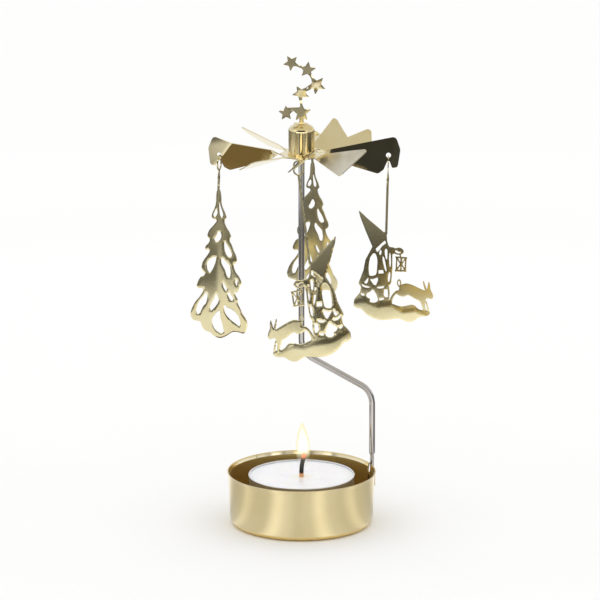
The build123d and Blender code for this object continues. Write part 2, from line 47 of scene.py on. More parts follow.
scene = bpy.context.scene


# ------------------------------------------------------------------ node helpers
def new_material(name):
    m = bpy.data.materials.new(name)
    m.use_nodes = True
    m.node_tree.nodes.clear()
    return m, m.node_tree


def node(tree, kind, inputs=None, **attrs):
    n = tree.nodes.new(kind)
    for k, v in attrs.items():
        setattr(n, k, v)
    for k, v in (inputs or {}).items():
        if isinstance(v, bpy.types.NodeSocket):
            tree.links.new(v, n.inputs[k])
        else:
            n.inputs[k].default_value = v
    return n


def ramp(tree, fac, stops, interpolation="LINEAR"):
    n = node(tree, "ShaderNodeValToRGB", {"Fac": fac})
    n.color_ramp.interpolation = interpolation
    el = n.color_ramp.elements
    while len(el) > 1:
        el.remove(el[-1])
    for i, (pos, col) in enumerate(stops):
        e = el[0] if i == 0 else el.new(pos)
        e.position = pos
        e.color = (col, col, col, 1) if isinstance(col, (int, float)) else (*col, 1)
    return n.outputs["Color"]


def math_node(tree, op, a, b=None, c=None, clamp=False):
    n = node(tree, "ShaderNodeMath", operation=op, use_clamp=clamp)
    for i, v in enumerate((a, b, c)):
        if v is None:
            continue
        if isinstance(v, bpy.types.NodeSocket):
            tree.links.new(v, n.inputs[i])
        else:
            n.inputs[i].default_value = v
    return n.outputs[0]


def remap(tree, value, a, b, c, d, smooth=False):
    n = node(tree, "ShaderNodeMapRange", {"Value": value, "From Min": a, "From Max": b, "To Min": c, "To Max": d})
    n.interpolation_type = "SMOOTHSTEP" if smooth else "LINEAR"
    return n.outputs["Result"]


def place(tree, scale=(1, 1, 1), rotation=(0, 0, 0)):
    tc = node(tree, "ShaderNodeTexCoord")
    return node(tree, "ShaderNodeMapping", {"Vector": tc.outputs["Object"], "Scale": scale, "Rotation": rotation}).outputs["Vector"]


def noise_tex(tree, vector, scale, detail=4.0, rough=0.55, distortion=0.0):
    return node(tree, "ShaderNodeTexNoise", {"Vector": vector, "Scale": scale, "Detail": detail, "Roughness": rough,
                                             "Distortion": distortion}).outputs["Fac"]


def surface(tree, shader, displacement=None):
    out = node(tree, "ShaderNodeOutputMaterial")
    tree.links.new(shader, out.inputs["Surface"])


# ------------------------------------------------------------------ materials
def sheet_metal(name, bright, deep, rough, spread, grain, grain_scale, wave=0.0, aniso=0.0, spots=0.25):
    """Metal sheet: tint that drifts over centimetres, rolling grain, fine scratches and faint spots."""
    m, t = new_material(name)
    v = place(t)
    drift = noise_tex(t, v, 90.0, 3.0, 0.5)
    fine = noise_tex(t, v, 900.0, 5.0, 0.6)
    tint = node(t, "ShaderNodeMix", {"Factor": remap(t, drift, 0.3, 0.72, 0.0, 1.0, True), "A": (*bright, 1), "B": (*deep, 1)},
                data_type="RGBA")
    # sockets of the colour variant of the mix node
    tint.inputs[6].default_value = (*bright, 1)
    tint.inputs[7].default_value = (*deep, 1)
    speck = remap(t, noise_tex(t, v, 2600.0, 2.0, 0.5), 0.66, 0.78, 1.0, 1.0 - spots)
    shade = node(t, "ShaderNodeVectorMath", {0: tint.outputs[2]}, operation="SCALE")
    t.links.new(speck, shade.inputs["Scale"])
    lines = noise_tex(t, place(t, grain), grain_scale, 3.0, 0.7)
    scr = noise_tex(t, place(t, (grain[1], grain[0], grain[2]), (0.3, 0.5, 0.7)), grain_scale * 0.8, 2.0, 0.8)
    r1 = math_node(t, "MULTIPLY_ADD", math_node(t, "SUBTRACT", fine, 0.5), spread, rough)
    r2 = math_node(t, "MULTIPLY_ADD", math_node(t, "SUBTRACT", lines, 0.5), spread * 0.8, r1, clamp=True)
    height = math_node(t, "ADD", math_node(t, "MULTIPLY", lines, 0.6), math_node(t, "MULTIPLY", scr, 0.4))
    if wave:
        height = math_node(t, "MULTIPLY_ADD", drift, wave, height)
    bump = node(t, "ShaderNodeBump", {"Height": height, "Strength": 0.12, "Distance": 0.00004})
    p = node(t, "ShaderNodeBsdfPrincipled", {"Base Color": shade.outputs[0], "Metallic": 1.0, "Roughness": r2, "Normal": bump.outputs["Normal"]})
    if aniso:
        p.inputs["Anisotropic"].default_value = aniso
    surface(t, p.outputs[0])
    return m


M_SHEET = sheet_metal("pendant_sheet", (0.80, 0.72, 0.45), (0.76, 0.67, 0.39), 0.055, 0.04, (1, 1, 14), 1500.0, spots=0.12)
M_EDGE = sheet_metal("cut_edge", (0.86, 0.79, 0.56), (0.74, 0.63, 0.36), 0.34, 0.16, (1, 1, 6), 2600.0)
# rougher copy of the vane sheet for the one front-right blade; its paler tint is a painted sheen
M_VANE_SATIN_PAINTED_SHEEN = sheet_metal("vane_satin_painted_sheen", (0.84, 0.77, 0.56), (0.80, 0.72, 0.50), 0.21, 0.06, (14, 1, 1), 1300.0, spots=0.12)
M_VANE = sheet_metal("vane_sheet", (0.82, 0.73, 0.47), (0.78, 0.68, 0.41), 0.075, 0.05, (14, 1, 1), 1300.0, spots=0.12)
M_STAR = sheet_metal("star_sheet", (0.78, 0.68, 0.42), (0.74, 0.64, 0.37), 0.07, 0.05, (1, 1, 14), 1500.0, spots=0.15)
M_HUB = sheet_metal("hub_polish", (0.88, 0.74, 0.42), (0.83, 0.67, 0.34), 0.045, 0.03, (1, 1, 8), 1600.0, spots=0.08)


def cup_material():
    """Drawn brass: satin outside with draw lines up the wall, duller inside with a deeper, darker tone painted in as
    shade, polished along the lip with a pale painted highlight on its inner band.
    """
    m, t = new_material("cup_satin")
    v = place(t)
    xyz = node(t, "ShaderNodeSeparateXYZ", {0: v})
    x, y, z = xyz.outputs
    r = math_node(t, "SQRT", math_node(t, "ADD", math_node(t, "MULTIPLY", x, x), math_node(t, "MULTIPLY", y, y)))
    wall = math_node(t, "MULTIPLY_ADD", z, 0.9 / 19.0, 0.02518)
    inner = remap(t, math_node(t, "SUBTRACT", wall, r), -0.00006, 0.00006, 0.0, 1.0)
    lip_polish_and_highlight = remap(t, z, 0.01755, 0.01785, 0.0, 1.0, True)
    drift = noise_tex(t, v, 70.0, 3.0, 0.5)
    draw = noise_tex(t, place(t, (1, 1, 0.06)), 900.0, 4.0, 0.65)
    ring = noise_tex(t, place(t, (0.05, 0.05, 1)), 1500.0, 3.0, 0.6)
    fine = noise_tex(t, v, 1800.0, 4.0, 0.6)
    tone = node(t, "ShaderNodeMix", {"Factor": remap(t, drift, 0.3, 0.7, 0.0, 1.0, True)}, data_type="RGBA")
    tone.inputs[6].default_value = (0.83, 0.70, 0.41, 1)
    tone.inputs[7].default_value = (0.79, 0.655, 0.36, 1)
    # painted shade: the inner wall gets a deeper, darker brass tone
    deep = node(t, "ShaderNodeMix", {"Factor": inner}, data_type="RGBA")
    t.links.new(tone.outputs[2], deep.inputs[6])
    deep.inputs[7].default_value = (0.86, 0.66, 0.26, 1)
    # painted highlight: a pale tint on the lip's inner band (the lower roughness there is real polish)
    edge = node(t, "ShaderNodeMix", {"Factor": math_node(t, "MULTIPLY", lip_polish_and_highlight, inner)}, data_type="RGBA")
    t.links.new(deep.outputs[2], edge.inputs[6])
    edge.inputs[7].default_value = (0.95, 0.86, 0.62, 1)
    rough = math_node(t, "MULTIPLY_ADD", inner, 0.16, 0.19)
    rough = math_node(t, "MULTIPLY_ADD", math_node(t, "MULTIPLY", lip_polish_and_highlight, inner), -0.28, rough)
    rough = math_node(t, "MULTIPLY_ADD", math_node(t, "SUBTRACT", draw, 0.5), 0.12, rough)
    rough = math_node(t, "MULTIPLY_ADD", math_node(t, "SUBTRACT", fine, 0.5), 0.06, rough, clamp=True)
    h = math_node(t, "ADD", math_node(t, "MULTIPLY", draw, 0.6), math_node(t, "MULTIPLY", ring, 0.4))
    bump = node(t, "ShaderNodeBump", {"Height": h, "Strength": 0.18, "Distance": 0.00005})
    p = node(t, "ShaderNodeBsdfPrincipled", {"Base Color": edge.outputs[2], "Metallic": 1.0, "Roughness": rough, "Normal": bump.outputs["Normal"]})
    surface(t, p.outputs[0])
    return m


M_CUP = cup_material()
M_PIVOT = sheet_metal("bearing_steel", (0.66, 0.66, 0.66), (0.52, 0.52, 0.53), 0.2, 0.1, (4, 4, 1), 1500.0)
M_ROD = sheet_metal("drawn_steel", (0.61, 0.58, 0.55), (0.53, 0.50, 0.47), 0.11, 0.05, (9, 9, 1), 1700.0, spots=0.08)
M_FOIL = sheet_metal("foil", (0.90, 0.905, 0.91), (0.80, 0.80, 0.81), 0.38, 0.16, (1, 1, 10), 900.0, wave=3.0)


def wax_material():
    m, t = new_material("paraffin")
    v = place(t)
    cloud = noise_tex(t, v, 160.0, 4.0, 0.6)
    col = ramp(t, cloud, [(0.3, (0.895, 0.885, 0.905)), (0.7, (0.95, 0.945, 0.965))])
    xyz = node(t, "ShaderNodeSeparateXYZ", {0: v})
    x, y = xyz.outputs["X"], xyz.outputs["Y"]
    r = math_node(t, "SQRT", math_node(t, "ADD", math_node(t, "MULTIPLY", x, x), math_node(t, "MULTIPLY", y, y)))
    r = math_node(t, "MULTIPLY_ADD", math_node(t, "SUBTRACT", cloud, 0.5), 0.004, r)
    molten = remap(t, r, 0.0055, 0.0090, 1.0, 0.0, True)
    rough = remap(t, noise_tex(t, v, 420.0, 3.0), 0.3, 0.7, 0.30, 0.52)
    rough = math_node(t, "MULTIPLY", rough, math_node(t, "MULTIPLY_ADD", molten, -0.72, 1.0))
    # painted light: a warm pool of the flame's glow on the wax round the wick
    warm = node(t, "ShaderNodeMix", {"Factor": math_node(t, "MULTIPLY", remap(t, r, 0.001, 0.0055, 1.0, 0.0, True), 0.8)}, data_type="RGBA")
    t.links.new(col, warm.inputs[6])
    warm.inputs[7].default_value = (0.97, 0.90, 0.76, 1)
    col = warm.outputs[2]
    h = math_node(t, "ADD", math_node(t, "MULTIPLY", cloud, 1.0), math_node(t, "MULTIPLY", noise_tex(t, v, 1500.0, 3.0), 0.15))
    bump = node(t, "ShaderNodeBump", {"Height": h, "Strength": 0.25, "Distance": 0.0002})
    p = node(t, "ShaderNodeBsdfPrincipled", {"Base Color": col, "Roughness": rough, "Normal": bump.outputs["Normal"],
                                             "Subsurface Weight": 0.35, "Subsurface Radius": (1.0, 0.75, 0.55), "Subsurface Scale": 0.004})
    surface(t, p.outputs[0])
    return m


M_WAX = wax_material()


def wick_material():
    m, t = new_material("charred_wick")
    v = place(t)
    z = node(t, "ShaderNodeSeparateXYZ", {0: v}).outputs["Z"]
    fibre = noise_tex(t, place(t, (1, 1, 0.3)), 5200.0, 3.0, 0.7)
    char = ramp(t, fibre, [(0.25, (0.003, 0.003, 0.003)), (0.7, (0.028, 0.022, 0.02))])
    glow = remap(t, math_node(t, "MULTIPLY_ADD", math_node(t, "SUBTRACT", fibre, 0.5), 0.0018, z), 0.0232, 0.0252, 0.0, 1.0, True)
    # waxed foot of the wick; its warm orange tint is painted light from the flame
    foot = remap(t, z, 0.0176, 0.0186, 1.0, 0.0, True)
    waxed_and_flame_lit_foot = node(t, "ShaderNodeMix", {"Factor": foot}, data_type="RGBA")
    t.links.new(char, waxed_and_flame_lit_foot.inputs[6])
    waxed_and_flame_lit_foot.inputs[7].default_value = (0.72, 0.36, 0.17, 1)
    char = waxed_and_flame_lit_foot.outputs[2]
    bump = node(t, "ShaderNodeBump", {"Height": fibre, "Strength": 0.6, "Distance": 0.0002})
    p = node(t, "ShaderNodeBsdfPrincipled", {"Base Color": char, "Roughness": 0.85, "Specular IOR Level": 0.1, "Normal": bump.outputs["Normal"],
                                             "Emission Color": (1.0, 0.17, 0.02, 1), "Emission Strength": math_node(t, "MULTIPLY", glow, 1.3)})
    surface(t, p.outputs[0])
    return m


M_WICK = wick_material()


def flame_material(name, stops, dens, strength):
    """One shell of the flame: colour and thickness of the glowing gas change with height and drift a little."""
    m, t = new_material(name)
    v = place(t)
    z = node(t, "ShaderNodeSeparateXYZ", {0: v}).outputs["Z"]
    h = remap(t, z, 0.0190, 0.0368, 0.0, 1.0)
    wob = math_node(t, "MULTIPLY_ADD", math_node(t, "SUBTRACT", noise_tex(t, v, 260.0, 2.0), 0.5), 0.10, h)
    e = node(t, "ShaderNodeEmission", {"Color": ramp(t, wob, stops), "Strength": strength})
    tr = node(t, "ShaderNodeBsdfTransparent")
    mix = node(t, "ShaderNodeMixShader", {"Fac": ramp(t, wob, dens)})
    t.links.new(tr.outputs[0], mix.inputs[1])
    t.links.new(e.outputs[0], mix.inputs[2])
    surface(t, mix.outputs[0])
    return m


M_FLAME_OUT = flame_material("flame_mantle", [(0.0, (0.70, 0.70, 0.76)), (0.20, (0.86, 0.80, 0.68)), (0.36, (1.0, 0.86, 0.42)), (0.8, (1.0, 0.86, 0.36)),
                                              (1.0, (1.0, 0.83, 0.32))],
                             [(0.0, 0.015), (0.26, 0.04), (0.4, 0.26), (0.85, 0.34), (1.0, 0.34)], 1.0)
M_FLAME_MID = flame_material("flame_body", [(0.0, (0.80, 0.78, 0.80)), (0.2, (0.92, 0.88, 0.80)), (0.36, (1.0, 0.98, 0.80)), (1.0, (1.0, 0.98, 0.76))],
                             [(0.0, 0.008), (0.30, 0.025), (0.44, 0.40), (1.0, 0.5)], 1.1)
M_FLAME_IN = flame_material("flame_heart", [(0.0, (0.88, 0.86, 0.86)), (0.3, (1.0, 0.99, 0.95)), (1.0, (1.0, 1.0, 0.97))],
                            [(0.0, 0.0), (0.36, 0.02), (0.47, 0.80), (1.0, 0.92)], 1.7)


# ------------------------------------------------------------------ mesh helpers
def make_object(name, bm, mats, body, replaces=(), sharp=None):
    me = bpy.data.meshes.new(name)
    bm.normal_update()
    bm.to_mesh(me)
    bm.free()
    for m in mats:
        me.materials.append(m)
    ob = bpy.data.objects.new(name, me)
    scene.collection.objects.link(ob)
    if sharp is not None:
        me.shade_smooth()
        me.set_sharp_from_angle(angle=math.radians(sharp))
    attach(ob, body)
    if replaces:
        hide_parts(*replaces)
    return ob


def fillet_poly(pts, seg=6):
    """Outline points of a polygon whose (x, y, radius) corners are rounded."""
    out = []
    n = len(pts)
    for i in range(n):
        p, c, q = Vector(pts[i - 1][:2]), Vector(pts[i][:2]), Vector(pts[(i + 1) % n][:2])
        r = pts[i][2]
        a, b = p - c, q - c
        la, lb = a.length, b.length
        a.normalize()
        b.normalize()
        half = math.acos(max(-1, min(1, a.dot(b)))) / 2
        if r <= 0 or half > 1.55:
            out.append(c)
            continue
        d = min(r / math.tan(half), 0.45 * la, 0.45 * lb)
        r = d * math.tan(half)
        centre = c + (a + b).normalized() * (r / math.sin(half))
        s, e = c + a * d - centre, c + b * d - centre
        a0 = math.atan2(s.y, s.x)
        da = (math.atan2(e.y, e.x) - a0 + math.pi) % (2 * math.pi) - math.pi
        for k in range(seg + 1):
            ang = a0 + da * k / seg
            out.append(centre + Vector((math.cos(ang), math.sin(ang))) * r)
    return out


def split_run(pts, step):
    """Closed outline with no run longer than step."""
    out = []
    for a, b in zip(pts, pts[1:] + pts[:1]):
        k = max(1, math.ceil((b - a).length / step))
        out += [a.lerp(b, j / k) for j in range(k)]
    return out


def inside(loops, pts):
    """For each point, whether it lies in the sheet: inside the outline and outside the holes."""
    a = np.array([(p.x, p.y) for l in loops for p in l])
    b = np.array([(p.x, p.y) for l in loops for p in l[1:] + l[:1]])
    q = np.array([(p[0], p[1]) for p in pts])
    out = np.zeros(len(q), bool)
    dy = b[:, 1] - a[:, 1]
    dy[dy == 0] = 1e-30
    for i in range(0, len(q), 2000):
        c = q[i:i + 2000]
        cross = (a[None, :, 1] > c[:, None, 1]) != (b[None, :, 1] > c[:, None, 1])
        x = (b[:, 0] - a[:, 0])[None] * (c[:, None, 1] - a[None, :, 1]) / dy[None] + a[None, :, 0]
        out[i:i + 2000] = (cross & (c[:, None, 0] < x)).sum(1) % 2 == 1
    return out


def rim_points(loops, off):
    """Points a little inside every outline, kept only where the sheet is wide enough for them."""
    pts = []
    for loop in loops:
        n = len(loop)
        for i in range(n):
            along = loop[(i + 1) % n] - loop[i - 1]
            if along.length < 1e-9:
                continue
            side = Vector((-along.y, along.x)).normalized() * off
            pts += [loop[i] + side, loop[i] - side]
    pts = [p for p, ok in zip(pts, inside(loops, pts)) if ok]
    edge = np.array([(p.x, p.y) for l in loops for p in l])
    kept = []
    cells = {}
    for p in pts:
        if np.min(np.hypot(edge[:, 0] - p.x, edge[:, 1] - p.y)) < 0.86 * off:
            continue
        k = (int(p.x // off), int(p.y // off))
        if any((q - p).length < 0.5 * off for i in (-1, 0, 1) for j in (-1, 0, 1) for q in cells.get((k[0] + i, k[1] + j), ())):
            continue
        cells.setdefault(k, []).append(p)
        kept.append(p)
    return kept


def triangulate(loops, step, rim=0.0):
    """Even triangles inside the loops (holes left open), with points on a staggered grid and a row along the rim."""
    coords, edges = [], []
    for loop in loops:
        base = len(coords)
        coords += [Vector((p.x, p.y)) for p in loop]
        edges += [(base + i, base + (i + 1) % len(loop)) for i in range(len(loop))]
    xs = [p.x for p in loops[0]]
    ys = [p.y for p in loops[0]]
    cells = {}
    if rim:
        coords += rim_points(loops, rim)
    for p in coords:
        cells.setdefault((round(p.x / step), round(p.y / step)), []).append(p)
    row = 0
    grid = []
    y = min(ys) + step / 2
    while y < max(ys):
        x = min(xs) + step * (0.25 if row % 2 else 0.75)
        while x < max(xs):
            p = Vector((x, y))
            k = (round(x / step), round(y / step))
            if not any((q - p).length < 0.45 * step for i in (-1, 0, 1) for j in (-1, 0, 1) for q in cells.get((k[0] + i, k[1] + j), ())):
                grid.append(p)
            x += step
        y += step * 0.866
        row += 1
    coords += [p for p, ok in zip(grid, inside(loops, grid)) if ok]
    vs, _, fs, _, _, _ = delaunay_2d_cdt(coords, edges, [], 0, 1e-9)
    mids = [sum((Vector(vs[i]) for i in f), Vector((0, 0))) / len(f) for f in fs]
    return [Vector(v) for v in vs], [list(f) for f, ok in zip(fs, inside(loops, mids)) if ok]


def thick_sheet(bm, verts, faces, place_fn, half, layer_edge, press=0.0):
    """Both faces and the cut edge of a sheet; place_fn(p) gives the middle surface's point and normal, press thins the rim."""
    seen = {}
    for f in faces:
        for a, b in zip(f, f[1:] + f[:1]):
            seen[(min(a, b), max(a, b))] = seen.get((min(a, b), max(a, b)), 0) + 1
    border = {i for e, k in seen.items() if k == 1 for i in e}
    top, bot = [], []
    for i, p in enumerate(verts):
        c, n = place_fn(p)
        h = half - press if i in border else half
        top.append(bm.verts.new(c + n * h))
        bot.append(bm.verts.new(c - n * h))
    count = {}
    for f in faces:
        area = sum(verts[f[i - 1]].x * verts[f[i]].y - verts[f[i]].x * verts[f[i - 1]].y for i in range(len(f)))
        order = f if area > 0 else f[::-1]
        bm.faces.new([top[i] for i in order]).smooth = True
        bm.faces.new([bot[i] for i in reversed(order)]).smooth = True
        for a, b in zip(order, order[1:] + order[:1]):
            count[(a, b)] = 1
    for a, b in list(count):
        if (b, a) not in count:
            f = bm.faces.new([top[b], top[a], bot[a], bot[b]])
            f.material_index = layer_edge
            f.smooth = True


def smoothstep(a, b, x):
    t = max(0.0, min(1.0, (x - a) / (b - a)))
    return t * t * (3 - 2 * t)


# ------------------------------------------------------------------ vane wheel
VANE_Z, VANE_T = 135.6, 0.36
HOOK_BLADES = {"right": (0.0, 67.0, 0.0), "rear": (85.0, 24.0, 2.0), "left": (180.0, 67.0, 0.0), "front": (271.5, 40.0, 12.0)}
HOOK_REACH = {"left": -1.6}
PLAIN_BLADES = [(25.0, 38.0, 4.0), (57.0, 40.0, 8.0), (129.0, 38.0, 4.0), (224.5, 26.0, 0.5), (313.5, 40.0, 5.5)]
HOOK_OUT = [(6.4, -1.35, 0), (9.0, -1.45, 2), (27.0, -7.1, 1.3), (29.0, -5.6, 0.6), (30.3, -2.6, 0.3), (31.2, -2.6, 0.3), (32.0, -5.0, 0.5),
            (34.0, -4.7, 1.1), (35.0, 1.6, 3), (33.4, 6.3, 1.6), (9.0, 1.45, 2), (6.4, 1.35, 0)]
PLAIN_OUT = [(6.4, -1.35, 0), (9.0, -1.45, 2), (24.8, -7.2, 1.4), (30.0, 6.3, 1.2), (9.0, 1.45, 2), (6.4, 1.35, 0)]
# fold of the end tab: (from, to, angle) in blade coordinates
FOLDS = {"left": ((28.6, -1.6), (23.6, 6.6), 26.0), "right": ((31.6, -1.4), (33.2, 7.0), -5.0)}


def blade_surface(az, pitch, bend, fold, camber):
    ca, sa = math.cos(math.radians(az)), math.sin(math.radians(az))
    up = math.radians(bend)

    def middle(p):
        rho, s = p.x, p.y
        q = Vector((rho, s, 0.0))
        w = smoothstep(12.0, 26.0, rho)
        q.z += camber * w * ((s / 6.5) ** 2 - 0.4) + 0.05 * math.sin(rho * 0.33 + s * 0.25) * smoothstep(10, 16, rho)
        if fold:
            a, b, deg = Vector(fold[0]), Vector(fold[1]), fold[2]
            along = (b - a).normalized()
            out = Vector((along.y, -along.x))
            d = (Vector((rho, s)) - a).dot(out)
            if d > 0:
                ang = math.radians(deg)
                soft = 0.5
                lift = math.tan(ang) * (d - soft / 2 if d > soft else d * d / (2 * soft))
                q.z += lift * 0.86
                shrink = (1 - math.cos(ang)) * d
                q.x -= out.x * shrink
                q.y -= out.y * shrink
        ang = math.radians(pitch) * smoothstep(6.9, 11.0, rho)
        y, z = q.y * math.cos(ang) - q.z * math.sin(ang), q.y * math.sin(ang) + q.z * math.cos(ang)
        b = up * smoothstep(5.6, 7.6, rho)
        x, z = 6.0 + (q.x - 6.0) * math.cos(b) - z * math.sin(b), (q.x - 6.0) * math.sin(b) + z * math.cos(b)
        return Vector((x * ca - y * sa, x * sa + y * ca, VANE_Z + z)) * MM

    def with_normal(p):
        e = 0.02
        c = middle(p)
        u = middle(p + Vector((e, 0))) - middle(p - Vector((e, 0)))
        v = middle(p + Vector((0, e))) - middle(p - Vector((0, e)))
        return c, u.cross(v).normalized()

    return with_normal


def build_wheel():
    bm = bmesh.new()
    half = VANE_T / 2 * MM
    circle = lambda cx, cy, r, n: [Vector((cx + r * math.cos(2 * math.pi * k / n), cy + r * math.sin(2 * math.pi * k / n))) for k in range(n)]
    for side, (az, pitch, bend) in HOOK_BLADES.items():
        reach = HOOK_REACH.get(side, 0.0)
        outline = [(x + reach if x > 20 else x, y, r) for x, y, r in HOOK_OUT]
        loops = [split_run(fillet_poly(outline), 0.6), circle(30.75 + reach, -0.4, 0.9, 24)]
        vs, fs = triangulate(loops, 0.62)
        thick_sheet(bm, vs, fs, blade_surface(az, pitch, bend, FOLDS.get(side), 0.22), half, 1)
    for k, (az, pitch, bend) in enumerate(PLAIN_BLADES):
        first = len(bm.faces)
        vs, fs = triangulate([split_run(fillet_poly(PLAIN_OUT), 0.6)], 0.62)
        thick_sheet(bm, vs, fs, blade_surface(az, pitch, bend, None, (0.12, 0.12, 0.3, 0.2, 0.04)[k]), half, 1)
        # the front-right blade takes the rougher copy, whose paler tint is painted sheen
        if az > 300:
            bm.faces.ensure_lookup_table()
            for f in bm.faces[first:]:
                f.material_index = f.material_index or 2
    vs, fs = triangulate([circle(0, 0, 7.2, 96), circle(0, 0, 4.63, 96)], 0.6)
    thick_sheet(bm, vs, fs, lambda p: (Vector((p.x, p.y, VANE_Z)) * MM, Vector((0, 0, 1))), half * 0.94, 1)
    return make_object("vane_wheel_sheet", bm, [M_VANE, M_EDGE, M_VANE_SATIN_PAINTED_SHEEN], "rotor", ["vane_wheel"], sharp=40)


build_wheel()


# ------------------------------------------------------------------ stamped pendants and stars
def front_loops(name, turn, z_max=1e9):
    """Outline loops, in (x, z) millimetres, of the flat face of a CAD sheet that looks towards -Y once turned back, below z_max."""
    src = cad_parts[name].data
    bm = bmesh.new()
    bm.from_mesh(src)
    bm.transform(turn.inverted())
    bmesh.ops.remove_doubles(bm, verts=bm.verts, dist=1e-7)
    bm.normal_update()
    level = min(v.co.y for v in bm.verts if v.co.z < z_max * MM)
    if z_max < 1e8:
        bmesh.ops.bisect_plane(bm, geom=bm.verts[:] + bm.edges[:] + bm.faces[:], plane_co=(0, 0, z_max * MM), plane_no=(0, 0, 1), clear_outer=True)
        bm.normal_update()
        level = min(v.co.y for v in bm.verts)
    keep = {f for f in bm.faces if f.normal.y < -0.99 and abs(f.calc_center_median().y - level) < 2e-5}
    nxt = {}
    for f in keep:
        for lo in f.loops:
            if sum(g in keep for g in lo.edge.link_faces) == 1:
                nxt.setdefault(lo.vert, []).append(lo.link_loop_next.vert)
    loops = []
    while nxt:
        start = next(iter(nxt))
        loop, v = [], start
        while v in nxt:
            w = nxt[v].pop()
            if not nxt[v]:
                del nxt[v]
            loop.append(Vector((v.co.x / MM, v.co.z / MM)))
            v = w
            if v == start:
                break
        if len(loop) > 2:
            loops.append(loop)
    bm.free()
    area = lambda l: abs(sum(a.x * b.y - b.x * a.y for a, b in zip(l, l[1:] + l[:1])))
    loops.sort(key=area, reverse=True)
    return loops, level / MM


def thin(loop, least=0.05):
    out = [loop[0]]
    for p in loop[1:]:
        if (p - out[-1]).length >= least:
            out.append(p)
    return out


def flat_pendant(name, cad, body, thickness, make_bow, step, mat, z_max=1e9, turn=0.0, press=0.085):
    spin = Matrix.Rotation(math.radians(turn), 4, "Z")
    loops, level = front_loops(cad, spin, z_max)
    xs, zs = [p.x for p in loops[0]], [p.y for p in loops[0]]
    bow = make_bow((min(xs) + max(xs)) / 2, max(zs), min(zs))
    loops = [split_run(thin(l), step * 1.4) for l in loops]
    vs, fs = triangulate(loops, step, 0.26)
    mid = level + thickness / 2

    def put(p):
        e = 0.05
        c = Vector((p.x, mid + bow(p.x, p.y), p.y)) * MM
        n = Vector(((bow(p.x + e, p.y) - bow(p.x - e, p.y)) / (2 * e), -1.0, (bow(p.x, p.y + e) - bow(p.x, p.y - e)) / (2 * e))).normalized()
        return spin @ c, spin.to_3x3() @ n

    bm = bmesh.new()
    thick_sheet(bm, vs, fs, put, thickness / 2 * MM, 1, press * MM)
    if z_max < 1e8:
        # ring and twisted part of the stem, as cut in the CAD sheet
        top = bmesh.new()
        top.from_mesh(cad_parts[cad].data)
        bmesh.ops.remove_doubles(top, verts=top.verts, dist=1e-7)
        bmesh.ops.bisect_plane(top, geom=top.verts[:] + top.edges[:] + top.faces[:], plane_co=(0, 0, z_max * MM), plane_no=(0, 0, 1), clear_inner=True)
        made = {v: bm.verts.new(v.co) for v in top.verts}
        for f in top.faces:
            g = bm.faces.new([made[v] for v in f.verts])
            g.smooth = True
        top.free()
    return make_object(name, bm, [mat, M_EDGE], body, [cad], sharp=40)


def tree_bow(sign, seed, flat, crease):
    """Gently dished sheet with a soft crease down the middle; flat for the first part of its height."""
    def make(cx, z_top, z_bot):
        def f(x, z):
            t = (z_top - z) / (z_top - z_bot)
            w = smoothstep(flat, flat + 0.35, t)
            fold = math.sqrt(((x - cx) / 9.0) ** 2 + 0.02) - 0.141
            ripple = noise.noise(Vector((x * 0.07, z * 0.05, seed)))
            return sign * (crease * fold * w + 0.5 * (t - 0.5) ** 2 * w - 0.1 * w) + 0.12 * ripple * w
        return f
    return make


# crest of the snow mound under each gnome, (x, z) in millimetres
CREST_FRONT = [(-12.0, 70.2), (-9.9, 70.8), (-3.8, 74.0), (0.2, 73.8), (3.7, 75.2), (10.4, 76.6), (15.5, 79.6)]
CREST_RIGHT = [(17.0, 82.0), (19.0, 82.6), (22.6, 83.4), (27.0, 81.4), (31.9, 82.0), (35.9, 79.2), (40.3, 79.8), (45.2, 77.6)]


def crest_roll(crest, x, z, rise, band):
    """Small rounded-over step of the sheet just below the crest."""
    zm = float(np.interp(x, [c[0] for c in crest], [c[1] for c in crest]))
    return rise * smoothstep(zm - band, zm + 0.3, z)


def gnome_bow(sign, seed, flat, amp=1.0, crest=None):
    def make(cx, z_top, z_bot):
        def f(x, z):
            t = (z_top - z) / (z_top - z_bot)
            w = smoothstep(flat, flat + 0.28, t)
            ripple = noise.noise(Vector((x * 0.07, z * 0.07, seed)))
            roll = crest_roll(crest, x, z, 0.045, 1.9) if crest else 0.0
            return amp * (sign * (0.05 * ((x - cx) / 14.0) ** 2 * w + 0.35 * (t - 0.45) ** 2 * w) + 0.07 * ripple * w) + roll
        return f
    return make


def top_of(n):
    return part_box(n)[1].z / MM


flat_pendant("tree_left_sheet", "tree_pendant_left", "tree_left", 0.35, tree_bow(1, 3.1, 0.10, 0.30), 0.7, M_SHEET, z_max=top_of("tree_pendant_left") - 11.0, press=0.045)
flat_pendant("tree_rear_sheet", "tree_pendant_rear", "tree_rear", 0.35, tree_bow(-1, 7.7, 0.20, 0.10), 0.7, M_SHEET, turn=-5.0, press=0.008)
flat_pendant("gnome_front_sheet", "gnome_pendant_front", "gnome_front", 0.35, gnome_bow(1, 1.9, 0.40, crest=CREST_FRONT), 0.6, M_SHEET, turn=1.5, press=0.04)
flat_pendant("gnome_right_sheet", "gnome_pendant_right", "gnome_right", 0.35, gnome_bow(1, 5.3, 0.24, 0.25, CREST_RIGHT), 0.6, M_SHEET, z_max=top_of("gnome_pendant_right") - 14.0, press=0.004)

STARS = [(0.0, 150.7, 3.5, 0.00, 0.01), (-5.45, 150.5, 2.85, 0.03, 0.0), (-0.2, 157.7, 3.2, -0.04, -0.15),
         (5.2, 160.7, 3.6, 0.05, -0.145), (2.1, 166.2, 3.1, -0.03, 0.02), (-3.6, 168.7, 3.0, 0.03, 0.01)]


def star_bow(x, z):
    d = 0.0
    for sx, sz, r, a, b in STARS:
        w = math.exp(-(((x - sx) ** 2 + (z - sz) ** 2) / (r * 0.9) ** 2) ** 2)
        d += w * (a * (x - sx) + b * (z - sz))
    return d


